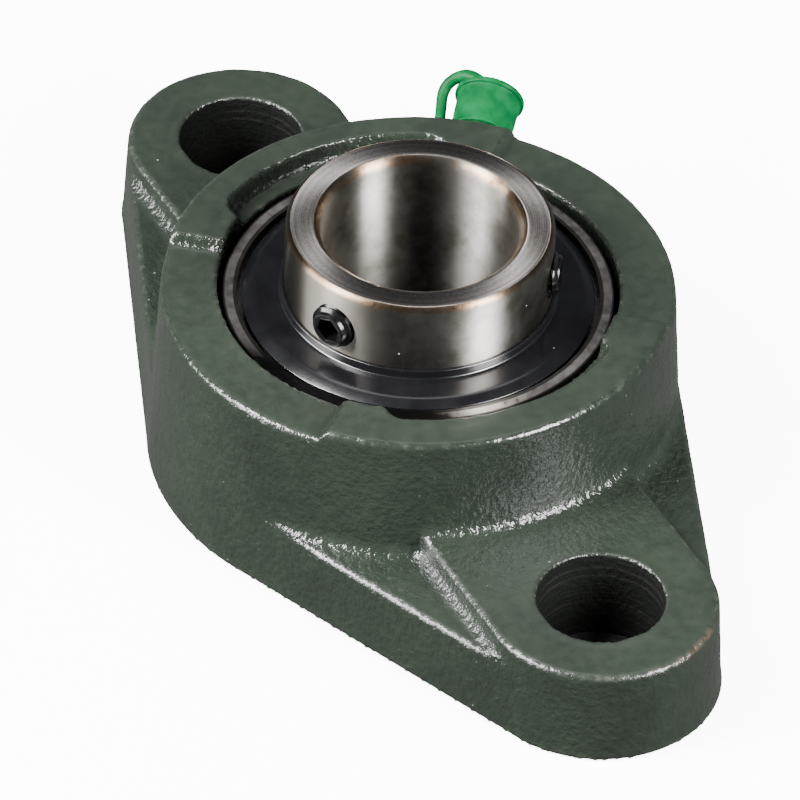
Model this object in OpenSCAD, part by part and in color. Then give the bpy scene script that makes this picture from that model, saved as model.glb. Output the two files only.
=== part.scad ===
// Two-bolt flange bearing: a cast-iron housing round a self-aligning ball insert.
// All sizes are in millimetres. The origin lies midway between the two bolts on the
// mounting face. +X points to one bolt, and +Z runs up the shaft to the set screws.

/* [Flange] */
// Distance between the two bolt holes
bolt_spacing = 99; // [97:0.5:101]
// Radius of each bolt hole
bolt_hole_r = 8; // [6:0.25:8.5]
// Radius of each lug at the mounting face
lug_r = 15.5; // [15:0.25:17]
// Height of the bolt pads above the mounting face
pad_h = 13; // [12:0.25:14]
// Height of the side webs that run from the hub to the lugs
web_h = 10; // [8:0.25:11]
// Draft angle of the cast walls
draft = 3.4; // [2:0.2:4]
// Rounding of the cast top edges
edge_round = 0.8; // [0.4:0.1:1]
// Radius of the cast corners where a wall meets a floor
corner_r = 1.8; // [1:0.2:2.4]

/* [Hub] */
// Radius of the hub at the mounting face
hub_r = 34; // [33.5:0.25:35]
// Height of the hub's two raised sectors, above the bolts
hub_h = 27; // [26.6:0.1:28]
// Height of the hub's two lower sectors
low_h = 25.6; // [25:0.1:26.2]
// Angle from the bolt line to the foot of each ramp between the sectors
ramp_angle = 50; // [46:1:56]
// Slope of those ramps
ramp_slope = 58; // [30:1:65]
// Height of the seat's centre above the mounting face
seat_h = 16; // [15.6:0.1:16.4]
// Radius of the cylindrical mouth above and below the seat
mouth_r = 25.3; // [25:0.1:25.6]
// Radius of the relief under the insert at the mounting face
relief_r = 26.5; // [26:0.1:28]
// Height of that relief
relief_h = 4; // [2:0.5:6]
// Radius of the shallow pocket in each raised sector, at its floor
pocket_r = 27; // [26.5:0.1:28]
// Width of those pockets across the bolt line
pocket_w = 31; // [28:0.5:34]
// Outward slope of the pocket's curved wall
pocket_slope = 16; // [5:1:20]
// Radius of the pocket's corners at the top
pocket_corner_r = 3; // [2:0.25:4]
// How far the cast pockets lie off the machined seat, away from the near bolt
pocket_shift = 0.7; // [0:0.1:0.8]

/* [Ball insert] */
// Radius of the outer ring's spherical outside
sphere_r = 26; // [25.9:0.02:26.1]
// Width of the outer ring
outer_w = 17; // [16:0.2:17.4]
// Radius of the shaft bore
bore_r = 12.5; // [11.5:0.1:12.7]
// Outside radius of the inner ring
inner_r = 16.9; // [16.8:0.05:17.1]
// Length of the inner ring below the seat's centre
inner_below = 14.3; // [13.8:0.1:14.8]
// Number of balls
ball_count = 9; // [8:1:9]
// Radius of each ball
ball_r = 3.969; // [3.9:0.01:4.05]
// Radius of the circle through the balls' centres
pitch_r = 19.52; // [19.4:0.02:19.6]
// Radius of the curved tracks, across the track
track_r = 4.13; // [4.1:0.01:4.3]
// Depth of the track in the outer ring
outer_track_depth = 1.8; // [1.5:0.05:2]
// Distance of the lubrication holes above the ball plane
oil_hole_z = 4.2; // [4.1:0.02:4.3]
// Radius of each lubrication hole
oil_hole_r = 0.7; // [0.5:0.05:0.75]

/* [Cage] */
// Thickness of the cage's pressed sheet
cage_t = 0.9; // [0.6:0.05:0.95]
// Gap between the cage and the inner ring
cage_inner_gap = 0.8; // [0.6:0.05:1.1]
// Gap between the cage and the outer ring
cage_outer_gap = 0.4; // [0.35:0.05:0.7]
// Radius of each rivet's shank
rivet_r = 0.7; // [0.5:0.05:0.8]
// Radius of each rivet's heads
rivet_head_r = 1.15; // [1:0.05:1.4]
// Height of each rivet's heads
rivet_head_h = 0.45; // [0.3:0.05:0.6]

/* [Seals] */
// Distance of the seals from the ball plane
seal_z = 5.3; // [5.25:0.05:5.5]
// Radius of the outer ring's bore outside the seals
ring_mouth_r = 22.8; // [22.6:0.05:23]
// Depth of the groove that holds the seal's steel shell
seal_groove = 0.4; // [0.3:0.05:0.5]
// Thickness of the seal's steel shell
shell_t = 0.5; // [0.4:0.05:0.6]
// Gap between the steel shell and the inner ring
shell_gap = 1.5; // [1.2:0.1:1.8]
// Outer radius of the flingers
flinger_r = 22.2; // [21.8:0.05:22.3]
// Radius of the bend where a flinger slopes away
flinger_bend_r = 20.6; // [20:0.1:21]
// Height of a flinger's flat above the ball plane
flinger_z = 9.5; // [9.3:0.05:9.8]
// Drop of a flinger's sloping skirt
flinger_drop = 1.3; // [1:0.05:1.5]
// Thickness of a flinger's sheet
flinger_t = 0.5; // [0.35:0.05:0.55]
// Height of a flinger's collar
collar_h = 0.8; // [0.5:0.05:1.2]

/* [Set screws] */
// Radius of the two set screws
screw_r = 2.95; // [2.4:0.05:3.1]
// Length of each set screw
screw_l = 5; // [4.5:0.1:5.2]
// Distance from the inner ring's end to the screws' axes
screw_drop = 5.9; // [4.6:0.1:6.4]
// Gap between the screws and the upper flinger's collar
screw_gap = 0.65; // [0.4:0.05:1.2]
// How far each screw stands out of the inner ring
screw_out = 1.4; // [0.6:0.1:1.6]
// Width across the flats of the hexagon socket
socket_w = 3; // [2.5:0.1:3.2]
// Depth of the socket
socket_d = 2.6; // [2:0.1:3]
// Angle of the first screw from the bolt line
screw_angle = -66; // [-80:1:-50]
// Angle between the two screws
screw_spread = 120; // [100:5:130]

/* [Grease fitting] */
// Angle of the fitting from the bolt line
fitting_angle = 140; // [136:1:144]
// Upward tilt of the fitting
fitting_tilt = 15; // [10:1:18]
// Height above the seat's centre where the passage opens in the seat
passage_z = 2; // [1.5:0.1:2.5]
// Radius of the grease passage
passage_r = 1.25; // [0.8:0.05:1.5]
// Depth of the spot face below the drafted wall
spot_depth = 1.2; // [0.8:0.1:1.6]
// Radius of the spot face
spot_r = 5; // [4.7:0.1:5.4]
// Radius of the fitting's threaded shank
shank_r = 2.95; // [2.5:0.05:3.2]
// Distance from the shank's end to the seat
shank_gap = 1.5; // [1:0.1:2]
// Width across the flats of the fitting's hexagon
hex_w = 7; // [6.5:0.1:7.4]
// Height of the hexagon
hex_h = 3; // [2.5:0.1:3.5]
// Radius of the neck above the hexagon
neck_r = 2.3; // [2:0.05:2.5]
// Radius of the fitting's head
head_r = 3.25; // [3:0.05:3.35]
// Length of the neck and the head
head_l = 7; // [6.8:0.1:7.4]
// Radius of the check ball
check_r = 1; // [0.8:0.02:1.05]
// Wire radius of the check spring
wire_r = 0.15; // [0.1:0.01:0.18]
// Turns of the check spring
spring_turns = 6; // [4:1:7]

/* [Cap] */
// Outside radius of the cap at its mouth
cap_r = 3.95; // [3.8:0.05:4.1]
// How much the cap widens up to its rim
cap_flare = 0.15; // [0.05:0.05:0.25]
// Radius of the rim at the cap's closed end
rim_r = 4.55; // [4.4:0.05:4.8]
// Thickness of that rim
rim_t = 0.8; // [0.6:0.05:1]
// Radius of the strap's round section
strap_r = 0.75; // [0.5:0.05:0.8]
// Distance of the strap from the cap's axis
strap_off = 6.1; // [5.8:0.1:6.6]
// Bend radius of the strap's loop
loop_r = 2.1; // [1.6:0.1:2.4]

/* [Hidden] */
$fn = 96;

// Overlap of cutting shapes past the face they cut
past = 1;
// Overlap that lets cast surfaces cross where they would only touch
sink = 0.05;
// Cone-shaped bands that make up the hub's rounded rim
rim_bands = 4;
// Reach of a cutting block, larger than the whole part
reach = 200;
// Radial clearance of the spherical seat
seat_fit = 0.06;
// Radial clearance between a ball and each track
ball_fit = 0.02;
// Clearance of a ball in its cage pocket
pocket_fit = 0.1;
// Radial clearance of a screw or shank in its hole, and of a head in its cap
thread_fit = 0.05;
// Gap between pressed pieces of one assembly
press_gap = 0.02;
// Clearance of the rubber lip on the inner ring
lip_fit = 0.04;

// Plane geometry of the rhombic flange: the side walls touch the hub and the lugs
side_angle = acos((hub_r - lug_r) / (bolt_spacing / 2));
side_run = bolt_spacing / 2 * sin(side_angle);

// Seat, pocket and slots that take the insert
seat_r = sphere_r + seat_fit;
slot_w = outer_w + 0.4;
ring_top = seat_h + outer_w / 2;
pocket_floor = ring_top + 0.1;

// Annular groove in the seat that feeds grease to the insert
feed_w = 4.4;
feed_depth = 0.6;
feed_low = passage_z - 1.2;
ring_groove_w = 1.6;
ring_groove_depth = 0.7;

// Ball tracks
outer_bottom = pitch_r + ball_r + ball_fit;
inner_bottom = pitch_r - ball_r - ball_fit;
land_r = outer_bottom - outer_track_depth;
ball_step = 360 / ball_count;

// Band of the cage, with its rivets along the middle
cage_in_r = inner_r + cage_inner_gap;
cage_out_r = land_r - cage_outer_gap;
rivet_ring_r = (cage_in_r + cage_out_r) / 2;

// Inner ring
screw_rise = flinger_z + collar_h + screw_gap + screw_r;
inner_top = screw_rise + screw_drop;
bore_chamfer = 1;
rim_chamfer = 0.6;
screw_z = seat_h + screw_rise;

// Steel shell of the seals
shell_in_r = inner_r + shell_gap;

// Grease fitting, measured along its own axis from the spot face
entry_r = sqrt(pow(seat_r, 2) - pow(passage_z, 2));
entry_z = seat_h + passage_z;
wall_run = (hub_r - entry_z * tan(draft) - entry_r) / (cos(fitting_tilt) + sin(fitting_tilt) * tan(draft));
spot_run = wall_run - spot_depth;
shank_l = spot_run - shank_gap;
neck_l = 2.2;
flare_l = 1.2;
barrel_l = 1.2;
tip_r = 1.6;
chamber_low = hex_h + 1.2;
chamber_r = check_r + 0.1;
chamber_top = hex_h + head_l - 0.9;
port_r = check_r * 0.65;
check_z = chamber_top - sqrt(pow(check_r, 2) - pow(port_r, 2)) - press_gap;

// Cap and strap
strap_ring_t = 0.8;
strap_ring_r = 4;
cap_low = hex_h + strap_ring_t + 0.2;
cap_top = hex_h + head_l + 1.4;
cap_wall = 0.65;
elbow_r = 0.95;

cast_green = [0.27, 0.33, 0.28];
ground_steel = [0.62, 0.59, 0.56];
bright_steel = [0.75, 0.76, 0.78];
black_steel = [0.1, 0.11, 0.13];
sheet_steel = [0.55, 0.56, 0.58];
rubber_black = [0.06, 0.06, 0.06];
oxide_black = [0.05, 0.05, 0.05];
zinc = [0.7, 0.71, 0.68];
cap_green = [0.1, 0.62, 0.36];

// Half of a drafted wall's section: w wide at its foot, h high, with its top edge rounded by e
module half_section(w, h, e = edge_round) {
    cx = w - (h - e) * tan(draft) - e / cos(draft);
    tx = cx + e * cos(draft);
    ty = h - e + e * sin(draft);
    polygon([[0, 0], [w, 0], [tx, ty], [cx, h], [0, h]]);
    translate([cx, h - e])
        circle(r = e);
}

// Points of the hub's rounded rim at height h, from the drafted wall to the flat top
function rim_points(h) =
    let (cx = hub_r - (h - edge_round) * tan(draft) - edge_round / cos(draft))
        [
            for (k = [0 : rim_bands])
                let (a = draft + k * (90 - draft) / rim_bands)
                    [cx + edge_round * cos(a), h - edge_round + edge_round * sin(a)]
        ];

module hub_body() {
    rotate_extrude()
        polygon(concat([[0, 0], [hub_r, 0]], rim_points(hub_h), [[0, hub_h]]));
}

// Section of a cast corner: it fills the angle between a drafted wall and a floor at height h
module corner_section(w, h) {
    cx = w + corner_r / cos(draft) - (h + corner_r) * tan(draft) - sink;
    cy = h + corner_r - sink;
    root = w - h * tan(draft) - 1;
    difference() {
        polygon([
            [root, h - 1],
            [cx, h - 1],
            [cx, h - sink],
            [cx - corner_r * cos(draft), cy - corner_r * sin(draft)],
            [root, cy - corner_r * sin(draft)]
        ]);
        translate([cx, cy])
            circle(r = corner_r);
    }
}

module both_ways(axis) {
    children();
    mirror(axis)
        children();
}

// The four walls of the rhombic flange, each standing on the line that touches hub and lug
module side_webs(h, e = edge_round) {
    both_ways([1, 0, 0])
        both_ways([0, 1, 0])
            rotate([0, 0, side_angle])
                rotate([90, 0, 0])
                    linear_extrude(height = side_run)
                        half_section(hub_r - sink, h, e);
}

// A strip of pad that runs along X through both lugs
module pad_strip(h, e = edge_round) {
    translate([-bolt_spacing / 2, 0, 0])
        rotate([90, 0, 90])
            linear_extrude(height = bolt_spacing)
                both_ways([1, 0])
                    half_section(lug_r - sink, h, e);
}

module flange_body() {
    side_webs(web_h);
    pad_strip(pad_h);
    both_ways([1, 0, 0])
        translate([bolt_spacing / 2, 0, 0])
            rotate_extrude()
                half_section(lug_r, pad_h);
    hub_body();
}

// Cast corners round the hub, on the webs and on the pads: each runs out at the flange's edge
module cast_corners() {
    fade = corner_r + edge_round;
    intersection() {
        rotate_extrude()
            corner_section(hub_r, web_h);
        side_webs(web_h + corner_r, fade);
    }
    intersection() {
        rotate_extrude()
            corner_section(hub_r, pad_h);
        pad_strip(pad_h + corner_r, fade);
    }
    intersection() {
        union() {
            translate([-bolt_spacing / 2, 0, 0])
                rotate([90, 0, 90])
                    linear_extrude(height = bolt_spacing)
                        both_ways([1, 0])
                            corner_section(lug_r - sink, web_h);
            both_ways([1, 0, 0])
                translate([bolt_spacing / 2, 0, 0])
                    rotate_extrude()
                        corner_section(lug_r, web_h);
        }
        side_webs(web_h + corner_r, fade);
    }
}

// Everything above one ramp's plane
module above_ramp() {
    translate([0, 0, low_h])
        rotate([0, 0, ramp_angle])
            rotate([-ramp_slope, 0, 0])
                translate([-reach, -reach, 0])
                    cube([2 * reach, 2 * reach, reach]);
}

// Everything above the rounded rim of the lower sectors
module above_low_rim() {
    rim = rim_points(low_h);
    out = hub_r + past;
    rotate_extrude()
        polygon(concat(
            [[mouth_r - past, low_h]],
            [for (k = [rim_bands : -1 : 0]) rim[k]],
            [[out, rim[0][1] - (out - rim[0][0])], [out, hub_h + past], [mouth_r - past, hub_h + past]]
        ));
}

module low_sectors() {
    both_ways([0, 1, 0])
        intersection() {
            above_low_rim();
            above_ramp();
            mirror([1, 0, 0])
                above_ramp();
        }
}

// Shallow pockets in the raised sectors: sloping walls, with rounded corners
module pockets() {
    rise = hub_h + past - pocket_floor;
    spread = rise * tan(pocket_slope);
    top_r = pocket_r + spread;
    half_w = pocket_w / 2;
    corner_y = half_w - pocket_corner_r;
    corner_x = sqrt(pow(top_r - pocket_corner_r, 2) - pow(corner_y, 2)) - sink;
    pie = top_r / cos(atan(corner_y / corner_x));
    translate([-pocket_shift, 0, pocket_floor])
        difference() {
            union() {
                intersection() {
                    cylinder(h = rise, r1 = pocket_r, r2 = top_r);
                    translate([0, 0, -past])
                        linear_extrude(height = rise + 2 * past)
                            both_ways([1, 0])
                                polygon([
                                    [0, 0],
                                    [pie, pie * corner_y / corner_x],
                                    [pie, -pie * corner_y / corner_x]
                                ]);
                }
                for (x = [-corner_x, corner_x], y = [-corner_y, corner_y])
                    translate([x, y, 0])
                        cylinder(h = rise, r1 = pocket_corner_r - spread, r2 = pocket_corner_r);
                translate([-corner_x, 0, 0])
                    rotate([90, 0, 90])
                        linear_extrude(height = 2 * corner_x)
                            polygon([
                                [sink - half_w, rise],
                                [half_w - sink, rise],
                                [half_w - sink - spread, 0],
                                [sink + spread - half_w, 0]
                            ]);
            }
            translate([pocket_shift, 0, -past])
                cylinder(h = rise + 2 * past, r = mouth_r - past);
        }
}

module seat() {
    translate([0, 0, seat_h])
        sphere(r = seat_r);
    translate([0, 0, -past])
        cylinder(h = hub_h + 2 * past, r = mouth_r);
    translate([0, 0, -past])
        cylinder(h = relief_h + past, r1 = relief_r + past * (relief_r - mouth_r) / relief_h, r2 = mouth_r);
    translate([0, 0, seat_h + feed_low])
        cylinder(h = feed_w, r = seat_r + feed_depth);
}

// The two notches at the back through which the insert is turned into its seat
module loading_slots() {
    intersection() {
        translate([0, 0, -past])
            cylinder(h = seat_h + past, r = seat_r);
        translate([-reach / 2, -slot_w / 2, -past])
            cube([reach, slot_w, seat_h + past]);
    }
}

// Places its children on the grease fitting's axis, with +Z outward from the spot face
module at_fitting() {
    rotate([0, 0, fitting_angle])
        translate([entry_r, 0, entry_z])
            rotate([0, 90 - fitting_tilt, 0])
                translate([0, 0, spot_run])
                    children();
}

module fitting_hole() {
    at_fitting() {
        cylinder(h = reach / 10, r = spot_r);
        translate([0, 0, -shank_l - thread_fit])
            cylinder(h = shank_l + thread_fit + past, r = shank_r + thread_fit);
        translate([0, 0, -spot_run - past])
            cylinder(h = spot_run + past, r = passage_r);
    }
}

module housing() {
    color(cast_green)
        difference() {
            union() {
                flange_body();
                cast_corners();
            }
            low_sectors();
            pockets();
            seat();
            loading_slots();
            fitting_hole();
            both_ways([1, 0, 0])
                translate([bolt_spacing / 2, 0, -past])
                    cylinder(h = pad_h + 2 * past, r = bolt_hole_r);
        }
}

// Half-plane shapes that are cut from the outer ring's inside
module ring_inside() {
    deep = outer_w / 2 + past;
    groove_low = seal_z + 0.2;
    translate([0, -deep])
        square([land_r, 2 * deep]);
    translate([outer_bottom - track_r, 0])
        circle(r = track_r);
    both_ways([0, 1]) {
        translate([0, seal_z])
            square([ring_mouth_r, deep - seal_z]);
        translate([0, groove_low])
            square([ring_mouth_r + seal_groove, shell_t + 0.4]);
    }
}

module outer_ring() {
    groove_r = sqrt(pow(sphere_r, 2) - pow(oil_hole_z, 2)) - ring_groove_depth;
    color(ground_steel)
        translate([0, 0, seat_h])
            difference() {
                intersection() {
                    sphere(r = sphere_r);
                    cylinder(h = outer_w, r = sphere_r + past, center = true);
                }
                rotate_extrude()
                    ring_inside();
                rotate_extrude()
                    translate([groove_r, oil_hole_z - ring_groove_w / 2])
                        square([sphere_r, ring_groove_w]);
                translate([0, 0, oil_hole_z])
                    rotate([90, 0, 0])
                        cylinder(h = 2 * sphere_r, r = oil_hole_r, center = true);
            }
}

// Places its children on the axis of set screw n, with +Z outward from the shaft's axis
module at_screw(n) {
    translate([0, 0, screw_z])
        rotate([0, 0, screw_angle + n * screw_spread])
            rotate([0, 90, 0])
                children();
}

module inner_ring() {
    color(ground_steel)
        difference() {
            translate([0, 0, seat_h])
                rotate_extrude()
                    difference() {
                        polygon([
                            [bore_r + bore_chamfer, -inner_below],
                            [inner_r - rim_chamfer, -inner_below],
                            [inner_r, rim_chamfer - inner_below],
                            [inner_r, inner_top - rim_chamfer],
                            [inner_r - rim_chamfer, inner_top],
                            [bore_r + bore_chamfer, inner_top],
                            [bore_r, inner_top - bore_chamfer],
                            [bore_r, bore_chamfer - inner_below]
                        ]);
                        translate([inner_bottom + track_r, 0])
                            circle(r = track_r);
                    }
            for (n = [0, 1])
                at_screw(n)
                    cylinder(h = inner_r + past, r = screw_r + thread_fit);
        }
}

// Places its children at the centre of ball i
module at_ball(i) {
    translate([0, 0, seat_h])
        rotate([0, 0, i * ball_step])
            translate([pitch_r, 0, 0])
                children();
}

// Places its children on the axis of rivet i, between two balls
module at_rivet(i) {
    translate([0, 0, seat_h])
        rotate([0, 0, (i + 0.5) * ball_step])
            translate([rivet_ring_r, 0, 0])
                children();
}

module ball(i) {
    color(bright_steel)
        at_ball(i - 1)
            sphere(r = ball_r);
}

// One pressed half of the cage: a flat band with a round pocket over each ball
module cage_half() {
    pocket = ball_r + pocket_fit;
    difference() {
        intersection() {
            union() {
                translate([0, 0, seat_h])
                    cylinder(h = cage_t, r = cage_out_r + past);
                for (i = [1 : ball_count])
                    at_ball(i)
                        sphere(r = pocket + cage_t);
            }
            translate([0, 0, seat_h])
                difference() {
                    cylinder(h = 2 * ball_r, r = cage_out_r);
                    translate([0, 0, -past])
                        cylinder(h = 2 * ball_r + 2 * past, r = cage_in_r);
                }
        }
        for (i = [1 : ball_count]) {
            at_ball(i)
                sphere(r = pocket);
            at_rivet(i)
                translate([0, 0, -past])
                    cylinder(h = cage_t + 2 * past, r = rivet_r + press_gap);
        }
    }
}

module over_ball_plane() {
    translate([0, 0, seat_h])
        mirror([0, 0, 1])
            translate([0, 0, -seat_h])
                children();
}

module cage_upper() {
    color(sheet_steel)
        cage_half();
}

module cage_lower() {
    color(sheet_steel)
        over_ball_plane()
            cage_half();
}

module cage_rivets() {
    color(sheet_steel)
        for (i = [1 : ball_count])
            at_rivet(i) {
                translate([0, 0, -cage_t])
                    cylinder(h = 2 * cage_t, r = rivet_r);
                both_ways([0, 0, 1])
                    translate([0, 0, cage_t])
                        cylinder(h = rivet_head_h, r1 = rivet_head_r, r2 = rivet_head_r * 0.7);
            }
}

// Steel shell of the upper seal, with a curled rim in the outer ring's groove
module seal_shell() {
    rim = ring_mouth_r + seal_groove - press_gap;
    low = seal_z + 0.3;
    curl = 0.25;
    translate([0, 0, seat_h])
        rotate_extrude()
            polygon([
                [shell_in_r, low],
                [rim, low],
                [rim, low + shell_t + curl],
                [rim - shell_t, low + shell_t + curl],
                [rim - shell_t, low + shell_t],
                [shell_in_r, low + shell_t]
            ]);
}

// Rubber lip of the upper seal, moulded round the shell's inner edge
module seal_lip() {
    low = seal_z + 0.3;
    slot_low = low - press_gap;
    slot_top = low + shell_t + press_gap;
    grip_r = shell_in_r + 0.6;
    slot_r = shell_in_r - press_gap;
    top = slot_top + 0.4;
    touch_r = inner_r + lip_fit;
    translate([0, 0, seat_h])
        rotate_extrude()
            polygon([
                [touch_r + 0.6, seal_z],
                [grip_r, seal_z],
                [grip_r, slot_low],
                [slot_r, slot_low],
                [slot_r, slot_top],
                [grip_r, slot_top],
                [grip_r, top],
                [touch_r + 0.9, top],
                [touch_r, top + 0.35],
                [touch_r, top + 0.15],
                [touch_r + 0.6, top - 0.4]
            ]);
}

module seal_shell_upper() {
    color(sheet_steel)
        seal_shell();
}

module seal_shell_lower() {
    color(sheet_steel)
        over_ball_plane()
            seal_shell();
}

module seal_lip_upper() {
    color(rubber_black)
        seal_lip();
}

module seal_lip_lower() {
    color(rubber_black)
        over_ball_plane()
            seal_lip();
}

// Pressed flinger: a collar on the inner ring, a flat, and a sloping skirt
module flinger() {
    fit_r = inner_r + press_gap;
    bend = 0.3;
    flat_fall = 0.2;
    skirt_z = flinger_z - flat_fall - flinger_drop;
    translate([0, 0, seat_h])
        rotate_extrude()
            polygon([
                [fit_r, flinger_z - flinger_t],
                [fit_r, flinger_z + collar_h],
                [fit_r + flinger_t, flinger_z + collar_h],
                [fit_r + flinger_t, flinger_z + bend],
                [fit_r + flinger_t + bend, flinger_z],
                [flinger_bend_r, flinger_z - flat_fall],
                [flinger_r, skirt_z],
                [flinger_r - flinger_t / 2, skirt_z - flinger_t * 0.9],
                [flinger_bend_r - flinger_t / 2, flinger_z - flat_fall - flinger_t],
                [fit_r + flinger_t, flinger_z - flinger_t * 1.1]
            ]);
}

module flinger_upper() {
    color(black_steel)
        flinger();
}

module flinger_lower() {
    color(black_steel)
        over_ball_plane()
            flinger();
}

// Set screw with a hexagon socket and a cup point
module set_screw(n) {
    head = inner_r + screw_out;
    tip = head - screw_l;
    chamfer = 0.5;
    cup_r = 1.5;
    cup_d = 0.8;
    color(oxide_black)
        at_screw(n)
            difference() {
                union() {
                    translate([0, 0, tip + chamfer])
                        cylinder(h = screw_l - 2 * chamfer, r = screw_r);
                    translate([0, 0, tip])
                        cylinder(h = chamfer, r1 = screw_r - chamfer, r2 = screw_r);
                    translate([0, 0, head - chamfer])
                        cylinder(h = chamfer, r1 = screw_r, r2 = screw_r - chamfer);
                }
                translate([0, 0, head - socket_d])
                    cylinder(h = socket_d + past, r = socket_w / 2 / cos(30), $fn = 6);
                translate([0, 0, tip - press_gap])
                    cylinder(h = cup_d, r1 = cup_r, r2 = 0);
            }
}

module grease_fitting() {
    barrel_z = hex_h + neck_l + flare_l;
    tip_z = hex_h + head_l;
    color(zinc)
        at_fitting()
            difference() {
                union() {
                    translate([0, 0, -shank_l])
                        cylinder(h = shank_l, r = shank_r);
                    cylinder(h = hex_h, r = hex_w / 2 / cos(30), $fn = 6);
                    cylinder(h = hex_h + neck_l, r = neck_r);
                    translate([0, 0, hex_h + neck_l])
                        cylinder(h = flare_l, r1 = neck_r, r2 = head_r);
                    translate([0, 0, barrel_z])
                        cylinder(h = barrel_l, r = head_r);
                    translate([0, 0, barrel_z + barrel_l])
                        cylinder(h = tip_z - barrel_z - barrel_l, r1 = head_r, r2 = tip_r);
                }
                translate([0, 0, -shank_l - past])
                    cylinder(h = shank_l + chamber_low + 2 * past, r = chamber_r * 0.7);
                translate([0, 0, chamber_low])
                    cylinder(h = chamber_top - chamber_low, r = chamber_r);
                translate([0, 0, chamber_low])
                    cylinder(h = tip_z, r = port_r);
            }
}

module check_ball() {
    color(bright_steel)
        at_fitting()
            translate([0, 0, check_z])
                sphere(r = check_r);
}

// Coil spring from z = low to z = high, swept as a tube of six sides
module coil(low, high, coil_r, turns) {
    sides = 6;
    per_turn = 16;
    rings = turns * per_turn;
    rise = (high - low - 2 * wire_r) / rings;
    points = [
        for (k = [0 : rings], s = [0 : sides - 1])
            let (a = k * 360 / per_turn, b = s * 360 / sides, r = coil_r + wire_r * cos(b))
                [r * cos(a), r * sin(a), low + wire_r + k * rise + wire_r * sin(b)]
    ];
    walls = [
        for (k = [0 : rings - 1], s = [0 : sides - 1])
            let (t = (s + 1) % sides, c = k * sides, d = c + sides)
                [c + s, c + t, d + t, d + s]
    ];
    start = [for (s = [0 : sides - 1]) sides - 1 - s];
    end = [for (s = [0 : sides - 1]) rings * sides + s];
    polyhedron(points = points, faces = concat([start], walls, [end]));
}

module check_spring() {
    color(bright_steel)
        at_fitting()
            coil(
                chamber_low + press_gap,
                check_z - check_r - press_gap,
                chamber_r - 2 * wire_r,
                spring_turns
            );
}

module grease_cap() {
    color(cap_green)
        at_fitting()
            difference() {
                union() {
                    translate([0, 0, cap_low])
                        cylinder(h = cap_top - rim_t - cap_low, r1 = cap_r, r2 = cap_r + cap_flare);
                    translate([0, 0, cap_top - rim_t])
                        cylinder(h = rim_t, r = rim_r);
                }
                translate([0, 0, cap_low - past])
                    cylinder(h = cap_top - cap_wall - cap_low + past, r = head_r + thread_fit);
            }
}

// Bend of the strap in the plane of the cap's axis and its side
module strap_bend(r, from, turn) {
    rotate([90, 0, 90])
        rotate([0, 0, from])
            rotate_extrude(angle = turn)
                translate([r, 0])
                    circle(r = strap_r);
}

// Flexible strap that ties the cap to a ring round the fitting's neck
module cap_strap() {
    ring_z = hex_h + thread_fit;
    mid_z = ring_z + strap_ring_t / 2 + 0.2;
    color(cap_green)
        at_fitting() {
            difference() {
                union() {
                    translate([0, 0, ring_z])
                        cylinder(h = strap_ring_t, r = strap_ring_r);
                    translate([0, neck_r + 1, mid_z])
                        rotate([-90, 0, 0])
                            cylinder(h = strap_off - elbow_r - neck_r - 1, r = strap_r);
                }
                translate([0, 0, ring_z - past])
                    cylinder(h = strap_ring_t + 2 * past, r = neck_r + thread_fit);
                translate([0, 0, ring_z - past])
                    cylinder(h = past, r = strap_off);
                translate([0, 0, ring_z + strap_ring_t])
                    cylinder(h = past, r = strap_ring_r + 0.1);
            }
            translate([0, strap_off - elbow_r, mid_z + elbow_r])
                strap_bend(elbow_r, -90, 90);
            translate([0, strap_off, mid_z + elbow_r])
                cylinder(h = cap_top - mid_z - elbow_r, r = strap_r);
            translate([0, strap_off - loop_r, cap_top])
                strap_bend(loop_r, 0, 180);
        }
}

housing();
outer_ring();
inner_ring();
for (i = [1 : ball_count]) ball(i);
cage_upper();
cage_lower();
cage_rivets();
seal_shell_upper();
seal_lip_upper();
seal_shell_lower();
seal_lip_lower();
flinger_upper();
flinger_lower();
set_screw(0);  // set_screw_1
set_screw(1);  // set_screw_2
grease_fitting();
check_ball();
check_spring();
grease_cap();
cap_strap();
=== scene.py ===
import bpy
import bmesh
import math
from mathutils import Matrix, Vector, noise


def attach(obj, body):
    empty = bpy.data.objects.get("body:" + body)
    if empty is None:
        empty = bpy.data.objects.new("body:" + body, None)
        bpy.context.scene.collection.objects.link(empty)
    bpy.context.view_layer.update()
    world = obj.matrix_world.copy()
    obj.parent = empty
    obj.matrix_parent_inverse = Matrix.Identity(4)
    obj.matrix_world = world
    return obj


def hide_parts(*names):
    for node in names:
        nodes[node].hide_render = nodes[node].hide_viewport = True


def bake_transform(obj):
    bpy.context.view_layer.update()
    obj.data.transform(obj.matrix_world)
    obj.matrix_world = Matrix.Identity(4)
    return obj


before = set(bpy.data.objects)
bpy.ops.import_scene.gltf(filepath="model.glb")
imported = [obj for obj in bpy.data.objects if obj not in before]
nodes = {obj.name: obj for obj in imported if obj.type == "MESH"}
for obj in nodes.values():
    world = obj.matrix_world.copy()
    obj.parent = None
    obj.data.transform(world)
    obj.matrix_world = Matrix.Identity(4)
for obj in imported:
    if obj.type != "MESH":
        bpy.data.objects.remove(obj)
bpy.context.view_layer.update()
# piece sizes are in millimetres, and the camera's distance and the lights' sizes are in metres
mm = 0.001
print("frame loaded:", len(nodes), "nodes")

# camera: a long lens from above the near lug
camera = {
    "azimuth": 61.56,
    "elevation": 40.89,
    "distance": 1.1817,
    "roll": 1.81,
    "lens": 424.6,
    "target": Vector((8.89, -6.94, 16.0)) * mm,
}


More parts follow.
